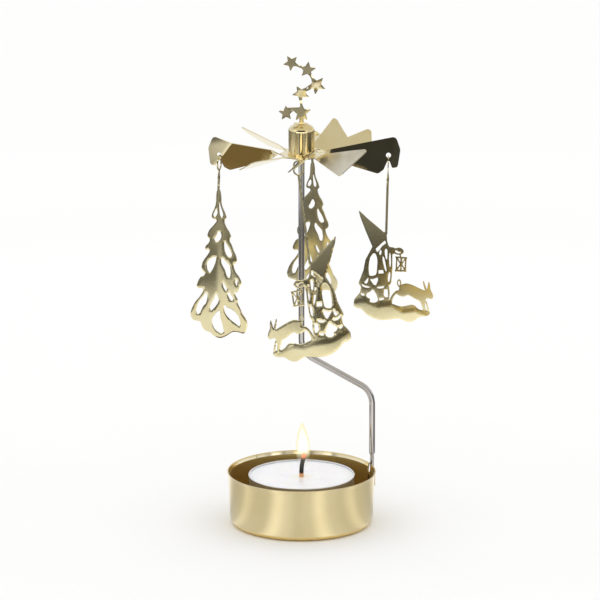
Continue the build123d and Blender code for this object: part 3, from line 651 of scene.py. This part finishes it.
flat_pendant("star_sheet", "star_topper", "rotor", 0.4, lambda cx, z_top, z_bot: star_bow, 0.45, M_STAR, press=0.025)


# ------------------------------------------------------------------ CAD nodes that keep their shape
def finish_node(name, mat):
    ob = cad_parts[name]
    ob.data.materials.clear()
    ob.data.materials.append(mat)


finish_node("candle_cup", M_CUP)
finish_node("hub_cap", M_HUB)
finish_node("pivot_cup", M_PIVOT)
finish_node("support_rod", M_ROD)
finish_node("tealight_shell", M_FOIL)
finish_node("tealight_wax", M_WAX)
finish_node("wick_sustainer", M_PIVOT)
finish_node("wick", M_WICK)


# ------------------------------------------------------------------ flame
def flame_shell(name, mat, z0, z1, wide, fat, lean):
    """Closed teardrop about the wick, its middle line bending with the draught."""
    bm = bmesh.new()
    rings, seg = 40, 32
    rows = []
    for i in range(rings):
        t = i / rings
        z = z0 + (z1 - z0) * t
        if t < fat:
            r = wide * (0.34 + 0.66 * math.sin(math.pi / 2 * t / fat))
        else:
            r = wide * max(0.0, math.cos(math.pi / 2 * ((t - fat) / (1 - fat)) ** 1.3)) ** 0.85
        cx = 0.35 + lean * (0.55 * math.sin(t * 2.6) - 0.55 * t)
        rows.append([bm.verts.new(Vector((cx + r * math.cos(2 * math.pi * k / seg), -0.1 + r * 0.92 * math.sin(2 * math.pi * k / seg), z)) * MM)
                     for k in range(seg)])
    tip = bm.verts.new(Vector((0.35 + lean * (0.55 * math.sin(2.6) - 0.55), -0.1, z1)) * MM)
    for a, b in zip(rows, rows[1:]):
        for k in range(seg):
            bm.faces.new([a[k], a[(k + 1) % seg], b[(k + 1) % seg], b[k]])
    for k in range(seg):
        bm.faces.new([rows[-1][k], rows[-1][(k + 1) % seg], tip])
    bm.faces.new(list(reversed(rows[0])))
    for f in bm.faces:
        f.smooth = True
    return make_object(name, bm, [mat], "tealight")


flame_shell("flame_mantle", M_FLAME_OUT, 18.6, 37.0, 2.48, 0.42, 0.8)
flame_shell("flame_body", M_FLAME_MID, 19.2, 36.2, 2.08, 0.43, 0.8)
flame_shell("flame_heart", M_FLAME_IN, 20.0, 35.2, 1.70, 0.44, 0.8)


# ------------------------------------------------------------------ floor, light, camera
def build_stage():
    m, t = new_material("studio_floor")
    p = node(t, "ShaderNodeBsdfPrincipled", {"Base Color": (0.93, 0.93, 0.925, 1), "Roughness": 0.9, "Specular IOR Level": 0.1})
    surface(t, p.outputs[0])
    bm = bmesh.new()
    bmesh.ops.create_grid(bm, x_segments=2, y_segments=2, size=8.0)
    me = bpy.data.meshes.new("studio_floor")
    bm.to_mesh(me)
    bm.free()
    floor = bpy.data.objects.new("studio_floor", me)
    floor.location = (0, 0, -0.0002)
    me.materials.append(m)
    scene.collection.objects.link(floor)

    # reflected ground: pale near the object, dark further out, with streaks all round at the hub's distance
    m, t = new_material("studio_flag")
    v = place(t)
    xyz = node(t, "ShaderNodeSeparateXYZ", {0: v})
    x, d = xyz.outputs["X"], math_node(t, "MULTIPLY", xyz.outputs["Y"], -1.0)
    r = node(t, "ShaderNodeVectorMath", {0: v}, operation="LENGTH").outputs["Value"]
    turn = math_node(t, "MULTIPLY_ADD", math_node(t, "ARCTAN2", x, d), 1 / (2 * math.pi), 0.5)
    az = lambda deg: 0.5 + deg / 360.0
    # all round
    near = ramp(t, turn, [(0.0, 1.0), (az(-140), 1.0), (az(-118), 0.25), (az(-62), 0.22), (az(-38), 1.0), (az(38), 1.0), (az(62), 0.22),
                          (az(118), 0.25), (az(140), 1.0), (1.0, 1.0)], "EASE")
    rim = ramp(t, turn, [(0.0, 0.38), (az(-120), 0.36), (az(-60), 0.29), (az(60), 0.29), (az(120), 0.36), (1.0, 0.38)])
    far = remap(t, math_node(t, "SUBTRACT", r, rim), 0.0, 0.05, 0.0, 1.0, True)
    out = node(t, "ShaderNodeMix", {"Factor": far}, data_type="RGBA")
    t.links.new(near, out.inputs[6])
    out.inputs[7].default_value = (0.16, 0.16, 0.155, 1)
    streak = ramp(t, turn, [(0.0, 0.55), (az(-112), 0.55), (az(-104), 1.25), (az(-66), 1.3), (az(-58), 0.85), (az(-22), 0.9), (az(-16), 0.10), (az(-4), 0.10),
                            (az(2), 0.72), (az(46), 0.95), (az(53), 0.03), (az(90), 0.03), (az(96), 1.1), (az(112), 1.1), (az(120), 0.10), (az(150), 0.2), (1.0, 0.55)])
    belt = math_node(t, "MULTIPLY", remap(t, r, 0.455, 0.48, 0.0, 1.0, True), remap(t, r, 0.555, 0.575, 1.0, 0.0, True))
    ring = node(t, "ShaderNodeMix", {"Factor": belt}, data_type="RGBA")
    t.links.new(out.outputs[2], ring.inputs[6])
    t.links.new(streak, ring.inputs[7])
    # in front of the object
    across = remap(t, x, -0.06, 0.06, 0.0, 1.0)
    edge = ramp(t, across, [(0.0, 0.255), (0.11, 0.255), (0.167, 0.25), (0.333, 0.25), (0.458, 0.31), (0.64, 0.315), (0.67, 0.279), (0.80, 0.279),
                            (0.83, 0.292), (1.0, 0.292)])
    width = ramp(t, across, [(0.0, 0.07), (0.11, 0.07), (0.167, 0.19), (0.36, 0.19), (0.46, 0.05), (0.64, 0.045), (0.67, 0.022), (0.80, 0.022), (0.84, 0.012), (1.0, 0.012)])
    into = math_node(t, "DIVIDE", math_node(t, "SUBTRACT", d, edge), width, clamp=True)
    into = math_node(t, "MULTIPLY", into, ramp(t, across, [(0.0, 0.80), (0.36, 0.80), (0.45, 1.0), (1.0, 1.0)]))
    deep = ramp(t, remap(t, d, 0.2, 0.8, 0.0, 1.0), [(0.0, 0.10), (0.167, 0.05), (0.30, 0.06), (0.367, 0.24), (0.425, 0.27), (0.5, 0.2), (0.6, 0.37),
                                                   (0.83, 0.38), (1.0, 0.3)])
    front = node(t, "ShaderNodeMix", {"Factor": remap(t, into, 0.0, 1.0, 0.0, 1.0, True)}, data_type="RGBA")
    t.links.new(ramp(t, across, [(0.0, 1.0), (0.62, 1.0), (0.68, 1.25), (1.0, 1.2)]), front.inputs[6])
    upper = math_node(t, "MULTIPLY", remap(t, d, 0.310, 0.321, 0.0, 1.0, True), remap(t, d, 0.345, 0.365, 1.0, 0.0, True))
    gold = node(t, "ShaderNodeMix", {"Factor": math_node(t, "MULTIPLY", remap(t, across, 0.805, 0.835, 0.0, 1.0, True), upper)}, data_type="RGBA")
    t.links.new(deep, gold.inputs[6])
    gold.inputs[7].default_value = (0.95, 0.76, 0.34, 1)
    t.links.new(gold.outputs[2], front.inputs[7])
    ahead = math_node(t, "MULTIPLY", remap(t, math_node(t, "ABSOLUTE", x), 0.085, 0.12, 1.0, 0.0, True), remap(t, d, 0.05, 0.10, 0.0, 1.0, True))
    both = node(t, "ShaderNodeMix", {"Factor": ahead}, data_type="RGBA")
    t.links.new(ring.outputs[2], both.inputs[6])
    t.links.new(front.outputs[2], both.inputs[7])
    e = node(t, "ShaderNodeEmission", {"Color": both.outputs[2], "Strength": 1.0})
    tr = node(t, "ShaderNodeBsdfTransparent")
    mix = node(t, "ShaderNodeMixShader", {"Fac": remap(t, r, 0.085, 0.11, 0.0, 1.0, True)})
    t.links.new(tr.outputs[0], mix.inputs[1])
    t.links.new(e.outputs[0], mix.inputs[2])
    surface(t, mix.outputs[0])
    bm = bmesh.new()
    n = 96
    inner = [bm.verts.new((0.08 * math.cos(2 * math.pi * k / n), 0.08 * math.sin(2 * math.pi * k / n), 0.001)) for k in range(n)]
    outer = [bm.verts.new((4.0 * math.cos(2 * math.pi * k / n), 4.0 * math.sin(2 * math.pi * k / n), 0.001)) for k in range(n)]
    for k in range(n):
        bm.faces.new([inner[k], outer[k], outer[(k + 1) % n], inner[(k + 1) % n]])
    me = bpy.data.meshes.new("studio_flag")
    bm.to_mesh(me)
    bm.free()
    flag = bpy.data.objects.new("studio_flag", me)
    me.materials.append(m)
    scene.collection.objects.link(flag)
    reflect_only(flag)

    # pale ground round the foot, with soft light and dark sectors for the cup's wall
    m, t = new_material("studio_ground")
    v = place(t)
    xyz = node(t, "ShaderNodeSeparateXYZ", {0: v})
    turn = math_node(t, "MULTIPLY_ADD", math_node(t, "ARCTAN2", xyz.outputs["X"], math_node(t, "MULTIPLY", xyz.outputs["Y"], -1.0)), 1 / (2 * math.pi), 0.5)
    val = ramp(t, turn, [(0.0, 0.75), (az(-140), 1.1), (az(-108), 0.60), (az(-90), 0.66), (az(-77), 0.92), (az(-62), 0.72), (az(-44), 0.72), (az(-30), 1.12), (az(-16), 0.84),
                         (az(-5), 0.72), (az(8), 0.78), (az(22), 1.10), (az(36), 0.78), (az(52), 0.72), (az(68), 0.95), (az(82), 0.70), (az(108), 0.60),
                         (az(140), 1.1), (1.0, 0.75)], "EASE")
    e = node(t, "ShaderNodeEmission", {"Color": val, "Strength": 1.0})
    surface(t, e.outputs[0])
    bm = bmesh.new()
    n = 96
    inner = [bm.verts.new((0.0262 * math.cos(2 * math.pi * k / n), 0.0262 * math.sin(2 * math.pi * k / n), 0.0004)) for k in range(n)]
    outer = [bm.verts.new((0.10 * math.cos(2 * math.pi * k / n), 0.10 * math.sin(2 * math.pi * k / n), 0.0004)) for k in range(n)]
    for k in range(n):
        bm.faces.new([inner[k], outer[k], outer[(k + 1) % n], inner[(k + 1) % n]])
    me = bpy.data.meshes.new("studio_ground")
    bm.to_mesh(me)
    bm.free()
    ground = bpy.data.objects.new("studio_ground", me)
    me.materials.append(m)
    scene.collection.objects.link(ground)
    reflect_only(ground)

    # warm card under the wheel's near side
    m, t = new_material("studio_card")
    v = place(t)
    n = noise_tex(t, v, 40.0, 2.0)
    e = node(t, "ShaderNodeEmission", {"Color": ramp(t, n, [(0.3, (0.17, 0.115, 0.05)), (0.7, (0.23, 0.165, 0.08))]), "Strength": 1.0})
    surface(t, e.outputs[0])
    bm = bmesh.new()
    bm.faces.new([bm.verts.new(c) for c in ((-0.042, -0.088, 0.03), (-0.002, -0.088, 0.03), (-0.002, -0.036, 0.03), (-0.042, -0.036, 0.03))])
    me = bpy.data.meshes.new("studio_card")
    bm.to_mesh(me)
    bm.free()
    card = bpy.data.objects.new("studio_card", me)
    me.materials.append(m)
    scene.collection.objects.link(card)
    reflect_only(card)


def reflect_only(ob):
    for a in ("visible_camera", "visible_diffuse", "visible_transmission", "visible_volume_scatter", "visible_shadow"):
        setattr(ob, a, False)


build_stage()


def build_world():
    w = bpy.data.worlds.new("studio")
    scene.world = w
    w.use_nodes = True
    t = w.node_tree
    t.nodes.clear()
    d = node(t, "ShaderNodeTexCoord").outputs["Generated"]
    s = node(t, "ShaderNodeSeparateXYZ", {0: d})
    ang = math_node(t, "ARCTAN2", s.outputs["X"], math_node(t, "MULTIPLY", s.outputs["Y"], -1.0))
    turn = math_node(t, "MULTIPLY_ADD", ang, 1 / (2 * math.pi), 0.5)      # 0.5 is the camera's side, 0 and 1 behind the object
    cool, warm = (0.76, 0.80, 0.95), (0.70, 0.67, 0.59)
    wall = ramp(t, turn, [(0.0, 1.0), (0.08, cool), (0.22, cool), (0.27, 0.9), (0.33, 1.2), (0.37, 0.35), (0.42, 0.07), (0.50, 0.04), (0.57, 0.08),
                          (0.62, 0.5), (0.66, 1.2), (0.69, 0.7), (0.76, warm), (0.93, warm), (1.0, 1.0)], "EASE")
    low = node(t, "ShaderNodeMix", {"Factor": remap(t, s.outputs["Z"], 0.20, 0.36, 0.0, 1.0, True)}, data_type="RGBA")
    t.links.new(ramp(t, turn, [(0.0, 0.9), (0.22, 0.85), (0.32, 0.75), (0.355, 0.3), (0.375, 1.9), (0.44, 1.8), (0.455, 0.75), (0.47, 1.8), (0.56, 1.8), (0.58, 0.8), (0.60, 1.9),
                               (0.625, 1.7), (0.645, 0.3), (0.68, 0.75), (0.78, 0.85), (1.0, 0.9)], "EASE"), low.inputs[6])
    t.links.new(wall, low.inputs[7])
    wall = low.outputs[2]
    top = remap(t, s.outputs["Z"], 0.66, 0.9, 0.0, 1.0, True)
    mix = node(t, "ShaderNodeMix", {"Factor": top}, data_type="RGBA")
    t.links.new(wall, mix.inputs[6])
    mix.inputs[7].default_value = (0.71, 0.68, 0.60, 1)
    lit = node(t, "ShaderNodeBackground", {"Color": mix.outputs[2], "Strength": 1.0})
    plain = node(t, "ShaderNodeBackground", {"Color": (1, 1, 1, 1), "Strength": 1.08})
    path = node(t, "ShaderNodeLightPath")
    pick = node(t, "ShaderNodeMixShader", {"Fac": path.outputs["Is Glossy Ray"]})
    t.links.new(plain.outputs[0], pick.inputs[1])
    t.links.new(lit.outputs[0], pick.inputs[2])
    out = node(t, "ShaderNodeOutputWorld")
    t.links.new(pick.outputs[0], out.inputs["Surface"])


build_world()
scene.view_settings.view_transform = "Standard"
scene.view_settings.look = "None"


def build_camera():
    cam = bpy.data.cameras.new("camera")
    ob = bpy.data.objects.new("camera", cam)
    scene.collection.objects.link(ob)
    dist, elev = 2.5, math.radians(15.0)
    aim = Vector((-0.00053, 0.0, 0.0822))
    back = Vector((0, -math.cos(elev), math.sin(elev)))
    ob.location = aim + back * dist
    ob.rotation_mode = "QUATERNION"
    ob.rotation_quaternion = (-back).to_track_quat("-Z", "Y")
    cam.sensor_width = 36.0
    cam.lens = 36.0 * dist / (600 * 0.0003555)
    cam.clip_start, cam.clip_end = 0.05, 60.0
    scene.camera = ob


build_camera()
